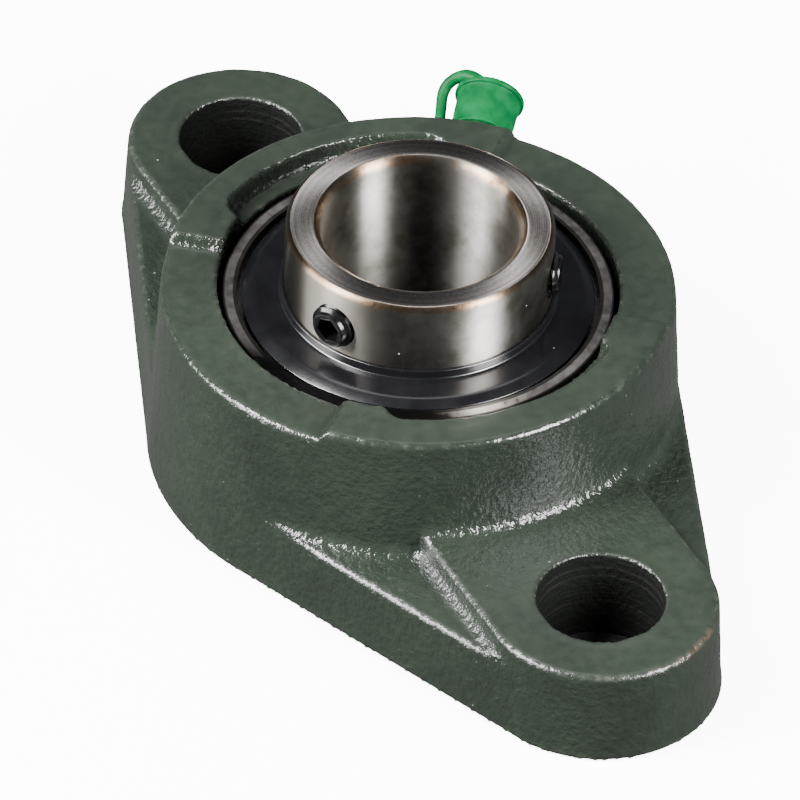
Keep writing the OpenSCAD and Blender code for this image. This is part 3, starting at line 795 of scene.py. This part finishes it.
def screwBody(p, head):
    # turned core: head face, chamfered ends and a cup point, open where the socket goes
    bm = bmesh.new()
    tip = head - p["length"] * mm
    outline = [(r * mm, tip + z * mm) for r, z in p["tipOutline"]]
    outline += [(r * mm, head - z * mm) for r, z in p["headOutline"]]
    verts = [bm.verts.new((r, 0, z)) for r, z in outline]
    for a, b in zip(verts, verts[1:]):
        bm.edges.new((a, b))
    bmesh.ops.spin(
        bm, geom=bm.verts[:] + bm.edges[:], cent=(0, 0, 0), axis=(0, 0, 1),
        angle=math.tau, steps=p["stepsPerTurn"], use_merge=True,
    )
    bmesh.ops.remove_doubles(bm, verts=bm.verts, dist=mergeGap)
    rim = [e for e in bm.edges if e.is_boundary]
    # hexagon socket: a six-sided mouth, sunk to its depth and closed by a drilled cone
    socket = bmesh.ops.create_circle(
        bm, cap_ends=False, segments=6, radius=p["socketR"] * mm,
        matrix=Matrix.Translation((0, 0, head - p["socketSink"] * mm)),
    )
    sides = list({e for v in socket["verts"] for e in v.link_edges})
    bmesh.ops.subdivide_edges(bm, edges=sides, cuts=p["sideCuts"])
    mouth = [e for e in bm.edges if e.is_wire]
    bmesh.ops.bridge_loops(bm, edges=rim + mouth)
    walls = bmesh.ops.extrude_edge_only(bm, edges=mouth)
    sunk = [v for v in walls["geom"] if isinstance(v, bmesh.types.BMVert)]
    bmesh.ops.translate(bm, verts=sunk, vec=(0, 0, -(p["socketDepth"] - p["socketSink"]) * mm))
    bottom = bmesh.ops.contextual_create(bm, geom=[e for e in bm.edges if e.is_boundary])
    centre = bmesh.ops.poke(bm, faces=bottom["faces"])
    bmesh.ops.translate(bm, verts=centre["verts"], vec=(0, 0, -p["drillDepth"] * mm))
    bmesh.ops.recalc_face_normals(bm, faces=bm.faces)
    return bm


def addThread(bm, p, head):
    # one tooth, swept up the screw and trimmed to the chamfers at both ends
    tip = head - p["length"] * mm
    core, crest, pitch = (p["coreR"] - p["toothSink"]) * mm, p["crestR"] * mm, p["pitch"] * mm
    turns = int((head - tip) / pitch) + 1
    low = tip - p["startBelow"] * pitch
    root, top = p["rootHalf"], p["crestHalf"]
    tooth = [(core, -root), (crest, -top), (crest, top), (core, root)]
    verts = [bm.verts.new((r, 0, low + k * pitch)) for r, k in tooth]
    start = bm.faces.new(verts)
    steps = turns * p["stepsPerTurn"]
    bmesh.ops.spin(
        bm, geom=[start], cent=(0, 0, 0), axis=(0, 0, 1), angle=math.tau * turns, steps=steps,
        dvec=(0, 0, pitch / p["stepsPerTurn"]), use_merge=False,
    )
    # the tooth's own faces are all that joins on to its first one
    thread = {start} | set(verts[0].link_faces)
    grown = True
    while grown:
        more = {f for t in thread for e in t.edges for f in e.link_faces} - thread
        thread |= more
        grown = bool(more)
    for v in {v for f in thread for v in f.verts}:
        z = min(max(v.co.z, tip + p["endGap"] * mm), head - p["endGap"] * mm)
        room = min(z - tip, head - z)
        limit = (p["coreR"] - p["trimStart"]) * mm + room
        r = math.hypot(v.co.x, v.co.y)
        shrink = min(1.0, limit / r)
        v.co = Vector((v.co.x * shrink, v.co.y * shrink, z))
    bmesh.ops.recalc_face_normals(bm, faces=list(thread))


def makeScrews(p, material):
    for n, (turn, headAt) in enumerate(zip(innerRing["screwTurns"], p["headAt"]), 1):
        bm = screwBody(p, headAt * mm)
        addThread(bm, p, headAt * mm)
        twist = Matrix.Rotation(math.radians(p["socketTurn"]), 3, "Z")
        bmesh.ops.rotate(bm, verts=bm.verts, cent=(0, 0, 0), matrix=twist)
        bmesh.ops.transform(bm, matrix=screwPlace(innerRing, turn), verts=bm.verts)
        obj = newPiece(f"setScrew{n}", bm, material, p["crease"])
        standFor(obj, f"set_screw_{n}", "screw_black", f"set_screw_{n}")


makeScrews(setScrew, makeBlackOxide(setScrew))
print("set screws threaded")

# grease fitting's cap and strap: one soft moulding in bright green
greaseCap = {
    "turn": 140.0,
    "tilt": 15.0,
    "seatR": 25.983,
    "seatZ": 18.0,
    "run": 5.880,
    "profile": [
        # radius, height along the fitting, corner radius
        (0.0, 11.45, 0), (2.9, 11.45, 0.5), (3.3, 11.28, 0.3), (4.55, 11.28, 0.22),
        (4.55, 10.55, 0.2), (4.12, 10.5, 0.2), (3.97, 5.2, 0.3), (4.05, 4.7, 0.15),
        (3.35, 4.7, 0.12), (3.3, 10.7, 0.3), (0.0, 10.75, 0),
    ],
    "steps": 96,
    "crease": 60.0,
    "color": (0.0, 0.092, 0.025, 1.0),
    "darkColor": (0.0, 0.055, 0.014, 1.0),
    "cloudSize": 2.2,
    "roughness": (0.40, 0.52),
    "scatter": (0.2, 1.0, 0.4),
    "scatterDepth": 0.001,
    "waveSize": 0.5,
    "waveDepth": 0.02,
}
capStrap = {
    "halfWidth": 0.72,
    "thickness": 1.4,
    "path": [
        # x, y and z in the fitting's own frame
        (0.0, 3.5, 3.55), (0.0, 4.6, 3.62), (0.0, 5.3, 4.2), (-0.02, 5.5, 5.2), (-0.05, 5.58, 6.6),
        (-0.2, 5.86, 8.6), (-0.5, 6.05, 10.0), (-0.9, 5.85, 11.0), (-1.5, 5.3, 11.6),
        (-2.2, 4.5, 11.9), (-2.9, 3.5, 11.95), (-3.2, 2.6, 11.8), (-3.3, 1.8, 11.4), (-3.3, 1.2, 11.0),
    ],
    "ringSteps": 64,
    "crease": 50.0,
    "mergeGap": 0.001,
    "widen": (0.9, 0.3),
    "sectionPoints": 8,
    "sectionSwell": 1.12,
    "ring": [
        # radius, height along the fitting, corner radius
        (2.36, 3.07, 0.1), (4.0, 3.07, 0.25), (4.0, 3.85, 0.25), (2.36, 3.85, 0.1),
    ],
}


def fittingPlace(p):
    # local Z points out along the fitting, from its spot face
    swing = Matrix.Rotation(math.radians(p["turn"]), 4, "Z")
    seat = Matrix.Translation((p["seatR"] * mm, 0, p["seatZ"] * mm))
    tilt = Matrix.Rotation(math.radians(90 - p["tilt"]), 4, "Y")
    return swing @ seat @ tilt @ Matrix.Translation((0, 0, p["run"] * mm))


def makeCapPlastic(p):
    mat, tree, shader = newMaterial("capPlastic")
    place = objectPlace(tree)
    cloud = noiseOf(tree, place, p["cloudSize"], 3.0, 0.5)
    color = mixColor(tree, between(tree, cloud, 0.35, 0.65), p["darkColor"], p["color"])
    tree.links.new(color, shader.inputs["Base Color"])
    tree.links.new(between(tree, cloud, 0.3, 0.7, *p["roughness"]), shader.inputs["Roughness"])
    setShader(shader, Specular_IOR_Level=0.1, Subsurface_Weight=0.12)
    setShader(shader, Subsurface_Radius=p["scatter"], Subsurface_Scale=p["scatterDepth"])
    bumpFrom(tree, shader, noiseOf(tree, place, p["waveSize"], 2.0), p["waveDepth"])
    return mat


def makeCap(p, material):
    bm = spunProfile(p["profile"], p["steps"])
    bmesh.ops.transform(bm, matrix=fittingPlace(p), verts=bm.verts)
    obj = newPiece("greaseCap", bm, material, p["crease"])
    standFor(obj, "grease_cap", "cap_green", "grease_cap")


def makeStrap(p, place, material):
    curve = bpy.data.curves.new("strapPath", "CURVE")
    curve.dimensions = "3D"
    spline = curve.splines.new("NURBS")
    last = len(p["path"]) - 1
    start, growth = p["widen"]
    spline.points.add(last)
    for k, (point, spot) in enumerate(zip(spline.points, p["path"])):
        point.co = (*[c * mm for c in spot], 1.0)
        point.radius = start + growth * k / last
    spline.order_u = 4
    spline.use_endpoint_u = True
    spline.resolution_u = 8
    curve.twist_mode = "MINIMUM"
    curve.bevel_mode = "OBJECT"
    section = bpy.data.curves.new("strapSection", "CURVE")
    outline = section.splines.new("NURBS")
    count, swell = p["sectionPoints"], p["sectionSwell"]
    outline.points.add(count - 1)
    for k, point in enumerate(outline.points):
        a = math.tau * k / count + math.tau / (2 * count)
        across = math.cos(a) * p["halfWidth"] * swell * mm
        point.co = (across, math.sin(a) * p["thickness"] / 2 * swell * mm, 0, 1)
    outline.use_cyclic_u = True
    outline.order_u = 3
    outline.resolution_u = 3
    sectionObj = bpy.data.objects.new("strapSection", section)
    bpy.context.scene.collection.objects.link(sectionObj)
    curve.bevel_object = sectionObj
    curve.use_fill_caps = True
    pathObj = bpy.data.objects.new("strapPath", curve)
    bpy.context.scene.collection.objects.link(pathObj)
    bpy.context.view_layer.update()
    band = evaluated(pathObj)
    bpy.data.objects.remove(pathObj)
    bpy.data.objects.remove(sectionObj)
    bm = spunProfile(p["ring"], p["ringSteps"])
    bm.from_mesh(band)
    bmesh.ops.remove_doubles(bm, verts=bm.verts, dist=p["mergeGap"] * mm)
    bmesh.ops.recalc_face_normals(bm, faces=bm.faces)
    bmesh.ops.transform(bm, matrix=place, verts=bm.verts)
    obj = newPiece("capStrap", bm, material, p["crease"])
    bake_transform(obj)
    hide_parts("cap_strap")


capPlastic = makeCapPlastic(greaseCap)
makeCap(greaseCap, capPlastic)
makeStrap(capStrap, fittingPlace(greaseCap), capPlastic)
print("cap and strap moulded")

# carried-over solids: plated, bright and sheet steel, rubber
metals = {
    # name: colour, second colour, roughness low and high, pattern size, metallic, bump depth
    "brightSteel": ((0.68, 0.68, 0.70), (0.60, 0.60, 0.62), 0.06, 0.12, 1.5, 1.0, 0.001),
    "sheetSteel": ((0.46, 0.45, 0.43), (0.36, 0.35, 0.34), 0.28, 0.42, 0.8, 1.0, 0.006),
    "zincPlate": ((0.58, 0.57, 0.50), (0.45, 0.45, 0.42), 0.26, 0.40, 1.0, 1.0, 0.006),
    "sealRubber": ((0.014, 0.014, 0.014), (0.025, 0.024, 0.023), 0.5, 0.65, 0.5, 0.0, 0.015),
}
metalOf = {
    "outer_ring": "ringSteel",
    "grease_fitting": "zincPlate",
    "cage_upper": "sheetSteel",
    "cage_lower": "sheetSteel",
    "seal_shell_upper": "sheetSteel",
    "seal_shell_lower": "sheetSteel",
    "seal_lip_upper": "sealRubber",
    "seal_lip_lower": "sealRubber",
}


def makeMetal(name, color, second, low, high, size, metallic, depth):
    mat, tree, shader = newMaterial(name)
    place = objectPlace(tree)
    cloud = noiseOf(tree, place, size, 4.0, 0.6)
    cloudy = mixColor(tree, between(tree, cloud, 0.35, 0.65), (*second, 1.0), (*color, 1.0))
    tree.links.new(cloudy, shader.inputs["Base Color"])
    tree.links.new(between(tree, cloud, 0.3, 0.7, low, high), shader.inputs["Roughness"])
    setShader(shader, Metallic=metallic)
    bumpFrom(tree, shader, cloud, depth)
    return mat


finishes = {name: makeMetal(name, *values) for name, values in metals.items()}

# outer ring: a turned, pale end face; painted shade darkens the face's inner and outer edges, the
# spherical outside and the face's near side
outerRing = {
    "faceColor": (0.50, 0.47, 0.455, 1.0),
    "faceDark": (0.36, 0.34, 0.325, 1.0),
    "edgeShadeColor": (0.10, 0.095, 0.09, 1.0),
    "faceR": (23.35, 24.30),
    "faceEdge": 0.1,
    "nearSideShadeColor": (0.020, 0.020, 0.021, 1.0),
    "nearShadeSide": (0.616, -0.788),
    "nearShadeFrom": (17.5, 20.5),
    "nearShadeRagged": 0.6,
    "mottleSize": 1.2,
    "roughness": (0.27, 0.34),
    "grainSize": 0.2,
    "grainDepth": 0.003,
}


def makeRingSteel(p):
    mat, tree, shader = newMaterial("ringSteel")
    place = objectPlace(tree)
    r = axisDistance(tree, place)
    mottle = noiseOf(tree, place, p["mottleSize"], 3.0, 0.6)
    face = mixColor(tree, between(tree, mottle, 0.35, 0.65), p["faceDark"], p["faceColor"])
    # painted shade: outside the face's middle band, towards the flinger and over the spherical outside,
    # the colour is darkened where shade falls between the parts
    (inner, outer), edge = p["faceR"], p["faceEdge"]
    outside = plus(tree, band(tree, r, (outer, outer + edge)), band(tree, r, (inner, inner - edge)))
    color = mixColor(tree, outside, face, p["edgeShadeColor"])
    # painted shade: the face's near side is darkened, with a ragged edge, where shade falls from the
    # flinger and the hub
    ragged = p["nearShadeRagged"] * mm
    onShadedSide = toward(tree, place, p["nearShadeSide"])
    onShadedSide = plus(tree, onShadedSide, between(tree, mottle, 0.3, 0.7, -ragged, ragged))
    color = mixColor(tree, band(tree, onShadedSide, p["nearShadeFrom"]), color, p["nearSideShadeColor"])
    tree.links.new(color, shader.inputs["Base Color"])
    tree.links.new(between(tree, mottle, 0.3, 0.7, *p["roughness"]), shader.inputs["Roughness"])
    setShader(shader, Metallic=1.0, Anisotropic=0.5)
    tree.links.new(aroundAxis(tree), shader.inputs["Tangent"])
    bumpFrom(tree, shader, noiseOf(tree, place, p["grainSize"], 2.0, 0.6), p["grainDepth"])
    return mat


finishes["ringSteel"] = makeRingSteel(outerRing)
replaced = {
    "housing", "inner_ring", "flinger_upper", "flinger_lower",
    "set_screw_1", "set_screw_2", "grease_cap", "cap_strap",
}
for name, obj in nodes.items():
    if name in replaced:
        continue
    for materialSlot in obj.material_slots:
        materialSlot.material = finishes[metalOf.get(name, "brightSteel")]
print("finishes given")
